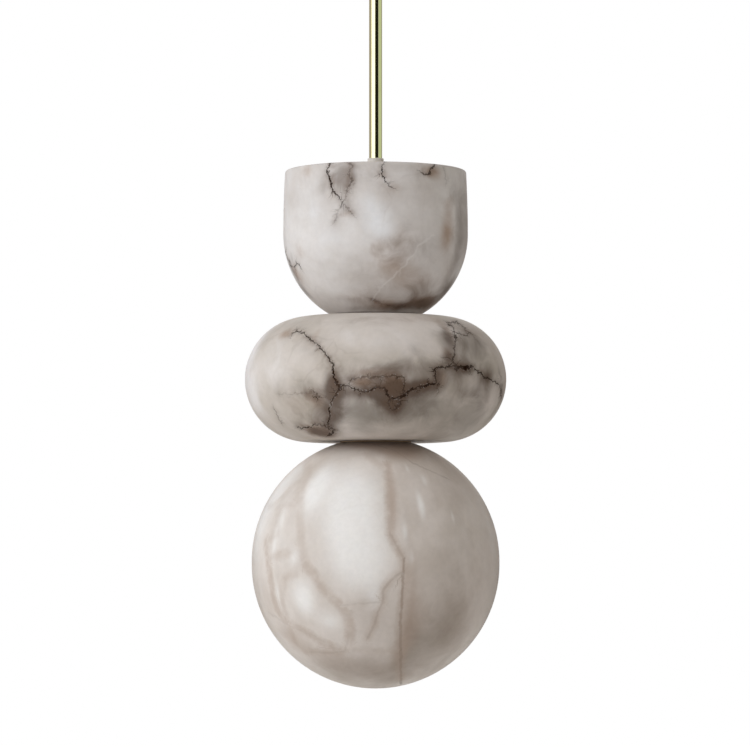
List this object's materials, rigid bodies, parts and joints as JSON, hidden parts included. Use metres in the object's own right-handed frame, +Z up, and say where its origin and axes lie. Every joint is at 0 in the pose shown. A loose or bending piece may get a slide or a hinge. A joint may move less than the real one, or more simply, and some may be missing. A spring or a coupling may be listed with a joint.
{
  "type": "pendant light",
  "caption": "Pendant light of stacked turned stones, a cup, a pebble and a globe, on a brass rod with a ceiling canopy and a ball joint.",
  "frame": {"origin": "on the rod's axis, in the plane of the ceiling, midway between the bracket's two slots", "axes": "+Z up into the ceiling along the rod, +X along the bracket from slot to slot, front faces -Y"},
  "size_m": [0.2, 0.1998, 0.6007],
  "materials": {
    "bracket_steel": "zinc plated",
    "canopy_brass": "polished",
    "screw_brass": "knurled",
    "swivel_brass": "turned, satin",
    "ball_brass": "polished",
    "rod_brass": "polished",
    "collar_brass": "polished",
    "hub_brass": "turned",
    "zinc_steel": "zinc plated",
    "driver_plastic": "moulded",
    "terminal_plastic": "moulded",
    "liner_nylon": "moulded nylon",
    "seal_rubber": "soft silicone",
    "joint_rubber": "soft silicone",
    "core_aluminium": "extruded",
    "led_board": "white board with yellow emitters",
    "lid_stone": "honed",
    "cup_stone": "polished",
    "pebble_stone": "polished",
    "globe_stone": "polished"
  },
  "bodies": {
    "ceiling_fitting": {"ceiling_bracket": "bracket_steel", "canopy": "canopy_brass", "canopy_screws": "screw_brass", "swivel_body": "swivel_brass", "swivel_cap": "swivel_brass", "swivel_nuts": "zinc_steel", "twist_stop_screw": "zinc_steel", "led_driver": "driver_plastic", "driver_screws": "zinc_steel", "terminal_block": "terminal_plastic", "terminal_screw": "zinc_steel", "earth_screw": "zinc_steel"},
    "liner": {"swivel_liner": "liner_nylon"},
    "pendant": {"swivel_ball": "ball_brass", "ball_lock_screw": "zinc_steel", "rod": "rod_brass", "collar": "collar_brass", "collar_washer": "seal_rubber", "lid": "lid_stone", "lid_seal": "seal_rubber", "cup": "cup_stone", "cup_gasket": "joint_rubber", "pebble": "pebble_stone", "hub_gasket": "seal_rubber", "hub": "hub_brass", "centre_tube": "zinc_steel", "tube_nuts": "zinc_steel", "cup_heatsink": "core_aluminium", "cup_led_boards": "led_board", "pebble_heatsink": "core_aluminium", "pebble_led_boards": "led_board", "globe_heatsink": "core_aluminium", "globe_led_boards": "led_board"},
    "washer": {"globe_washer": "joint_rubber"},
    "globe": {"globe_neck_ring": "hub_brass", "globe": "globe_stone"}
  },
  "joints": [
    {"name": "swing_front_back", "type": "hinge", "parent": "ceiling_fitting", "child": "liner", "pos_m": [0, 0, -0.046], "axis": [1, 0, 0], "range_deg": [-15, 15]},
    {"name": "swing_left_right", "type": "hinge", "parent": "liner", "child": "pendant", "pos_m": [0, 0, -0.046], "axis": [0, 1, 0], "range_deg": [-15, 15]},
    {"name": "globe_lower", "type": "slide", "parent": "pendant", "child": "washer", "axis": [0, 0, -1], "range_m": [0, 0.008]},
    {"name": "globe_unscrew", "type": "hinge", "parent": "washer", "child": "globe", "pos_m": [0, 0, -0.506], "axis": [0, 0, -1], "range_deg": [0, 1440]}
  ],
  "couplings": [
    {"joint": "globe_lower", "follows": "globe_unscrew", "m_per_rad": 0.00031831}
  ]
}
